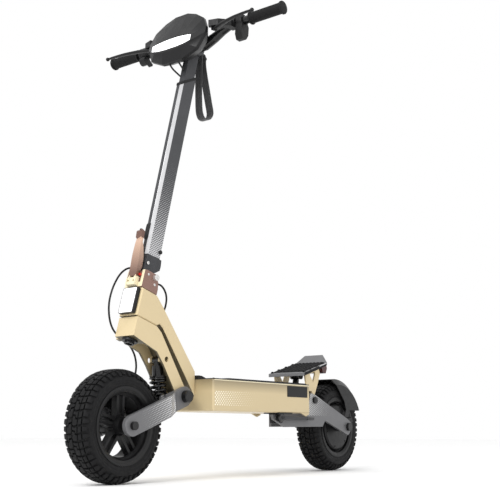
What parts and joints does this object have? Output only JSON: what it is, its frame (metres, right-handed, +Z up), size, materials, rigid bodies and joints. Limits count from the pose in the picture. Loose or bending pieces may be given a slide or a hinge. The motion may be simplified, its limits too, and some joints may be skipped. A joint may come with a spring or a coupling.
{
  "type": "electric kick scooter",
  "caption": "Folding electric kick scooter with sprung swing arms at both wheels, wide off-road tyres, box deck, tapered mast and swept handlebar with a cowl.",
  "frame": {"origin": "on the floor, midway between front and rear ends, on the centre plane", "axes": "+Z up, +X to the rider's left, -Y forward"},
  "size_m": [0.6266, 1.218, 1.2606],
  "materials": {
    "gold_frame": "satin champagne gold paint",
    "grey_arm": "satin grey paint",
    "mast_grey": "satin dark grey",
    "copper": "satin copper paint",
    "cream": "satin cream paint",
    "black_metal": "satin black",
    "black_plastic": "fine grain black plastic",
    "gloss_black": "smooth black plastic",
    "rubber_black": "matt rubber",
    "tyre_black": "matt tread rubber",
    "steel": "brushed",
    "silver": "satin",
    "lamp_white": "white diffuser",
    "lamp_red": "red lens",
    "catch_red": "red plastic",
    "webbing": "woven webbing",
    "cell_blue": "shrink wrap over cells"
  },
  "bodies": {
    "frame": {"neck": "gold_frame", "headset_bearings": "steel", "headlamp_housing": "black_plastic", "headlamp_lens": "lamp_white", "deck_shell": "gold_frame", "deck_lid": "black_metal", "deck_mat": "rubber_black", "charge_port_cover": "black_plastic", "battery_pack": "cell_blue", "motor_controller": "silver", "footrest_brackets": "gold_frame", "footrest_platform": "mast_grey", "tail_light": "lamp_red", "rear_pivot_block": "black_metal", "steering_cable": "rubber_black"},
    "fork": {"fork": "gold_frame", "steerer": "black_metal", "hinge_bracket": "copper", "hinge_pin": "steel", "latch_base": "cream", "front_pivot_pin": "black_metal", "brake_hose_upper": "rubber_black"},
    "fold_catch": {"fold_catch": "catch_red"},
    "fold_lever": {"fold_lever": "copper"},
    "stem": {"stem_collar": "mast_grey", "stem_tube": "mast_grey", "stem_head": "mast_grey", "handlebar": "black_metal", "grips": "rubber_black", "cowl": "gloss_black", "cowl_light": "lamp_white", "display": "gloss_black", "lever_perches": "black_metal", "switch_pod": "black_plastic", "throttle_pod": "black_plastic", "carry_strap": "webbing", "control_cables": "rubber_black"},
    "brake_lever_left": {"brake_lever_left": "black_metal"},
    "brake_lever_right": {"brake_lever_right": "black_metal"},
    "throttle_lever": {"throttle_lever": "black_plastic"},
    "mode_button": {"mode_button": "catch_red"},
    "front_arm": {"front_arm": "grey_arm", "front_caliper": "black_metal", "front_axle": "black_metal", "brake_hose_lower": "rubber_black"},
    "front_shock_body": {"front_shock_body": "black_metal"},
    "front_shock_shaft": {"front_shock_shaft": "steel", "front_shock_spring": "black_metal"},
    "front_wheel": {"front_tyre": "tyre_black", "front_rim": "black_metal", "front_rotor": "steel"},
    "rear_arm": {"rear_arm": "grey_arm", "rear_fender": "black_plastic", "rear_axle": "black_metal"},
    "rear_shock_body": {"rear_shock_body": "black_metal"},
    "rear_shock_shaft": {"rear_shock_shaft": "steel", "rear_shock_spring": "black_metal"},
    "rear_wheel": {"rear_tyre": "tyre_black", "rear_hub_motor": "black_metal"},
    "kickstand": {"kickstand": "black_metal"}
  },
  "joints": [
    {"name": "steering", "type": "hinge", "parent": "frame", "child": "fork", "pos_m": [0, -0.41711, 0.391], "axis": [0, 0.2681, 0.9634], "range_deg": [-45, 45], "deforming": ["steering_cable"]},
    {"name": "fold", "type": "hinge", "parent": "fork", "child": "stem", "pos_m": [0, -0.37691, 0.49815], "axis": [1, 0, 0], "range_deg": [-84, 0], "deforming": ["brake_hose_upper"]},
    {"name": "fold_lever_turn", "type": "hinge", "parent": "fork", "child": "fold_lever", "pos_m": [0, -0.42852, 0.49175], "axis": [1, 0, 0], "range_deg": [0, 95]},
    {"name": "fold_catch_slide", "type": "slide", "parent": "fork", "child": "fold_catch", "axis": [0, 0.9634, -0.2681], "range_m": [0, 0.003], "stiffness_N_per_m": 400, "springref_m": -0.001},
    {"name": "brake_lever_left_pull", "type": "hinge", "parent": "stem", "child": "brake_lever_left", "pos_m": [0.12, -0.25651, 1.19], "axis": [0, 0, 1], "range_deg": [0, 16], "stiffness_Nm_per_rad": 1.5, "springref_deg": -8.59},
    {"name": "brake_lever_right_pull", "type": "hinge", "parent": "stem", "child": "brake_lever_right", "pos_m": [-0.12, -0.25651, 1.19], "axis": [0, 0, 1], "range_deg": [-16, 0], "stiffness_Nm_per_rad": 1.5, "springref_deg": 8.59},
    {"name": "throttle_turn", "type": "hinge", "parent": "stem", "child": "throttle_lever", "pos_m": [-0.193, -0.21191, 1.2112], "axis": [1, 0, 0], "range_deg": [-40, 0], "stiffness_Nm_per_rad": 0.2, "springref_deg": 17.19},
    {"name": "mode_button_press", "type": "slide", "parent": "stem", "child": "mode_button", "axis": [0, -1, 0], "range_m": [0, 0.0025], "stiffness_N_per_m": 300, "springref_m": -0.001},
    {"name": "front_arm_pivot", "type": "hinge", "parent": "fork", "child": "front_arm", "pos_m": [0, -0.27051, 0.207], "axis": [1, 0, 0], "range_deg": [-11, 5], "stiffness_Nm_per_rad": 600, "springref_deg": 2.41, "deforming": ["brake_hose_lower"]},
    {"name": "front_shock_swing", "type": "hinge", "parent": "fork", "child": "front_shock_body", "pos_m": [0, -0.33191, 0.2973], "axis": [1, 0, 0], "range_deg": [-1, 1]},
    {"name": "front_shock_slide", "type": "slide", "parent": "front_shock_body", "child": "front_shock_shaft", "axis": [0, -0.0677, 0.9977], "range_m": [-0.006, 0.012], "deforming": ["front_shock_spring"]},
    {"name": "front_wheel_spin", "type": "hinge", "parent": "front_arm", "child": "front_wheel", "pos_m": [0, -0.47551, 0.1335], "axis": [1, 0, 0], "continuous": true},
    {"name": "rear_arm_pivot", "type": "hinge", "parent": "frame", "child": "rear_arm", "pos_m": [0, 0.09949, 0.153], "axis": [1, 0, 0], "range_deg": [-2, 3.5], "stiffness_Nm_per_rad": 1300, "springref_deg": -2.29},
    {"name": "rear_shock_swing", "type": "hinge", "parent": "frame", "child": "rear_shock_body", "pos_m": [0, 0.29449, 0.287], "axis": [1, 0, 0], "range_deg": [-5.5, 3.5]},
    {"name": "rear_shock_slide", "type": "slide", "parent": "rear_shock_body", "child": "rear_shock_shaft", "axis": [0, 0.2305, 0.9731], "range_m": [-0.007, 0.011], "deforming": ["rear_shock_spring"]},
    {"name": "rear_wheel_spin", "type": "hinge", "parent": "rear_arm", "child": "rear_wheel", "pos_m": [0, 0.46849, 0.1335], "axis": [1, 0, 0], "continuous": true},
    {"name": "kickstand_swing", "type": "hinge", "parent": "frame", "child": "kickstand", "pos_m": [0.09, 0.08449, 0.157], "axis": [0.9659, 0, 0.2588], "range_deg": [-95, 0]}
  ],
  "couplings": [
    {"joint": "front_shock_swing", "follows": "front_arm_pivot", "ratio": -0.05},
    {"joint": "front_shock_slide", "follows": "front_arm_pivot", "m_per_rad": -0.0552},
    {"joint": "rear_shock_swing", "follows": "rear_arm_pivot", "ratio": -1.38},
    {"joint": "rear_shock_slide", "follows": "rear_arm_pivot", "m_per_rad": 0.154}
  ]
}
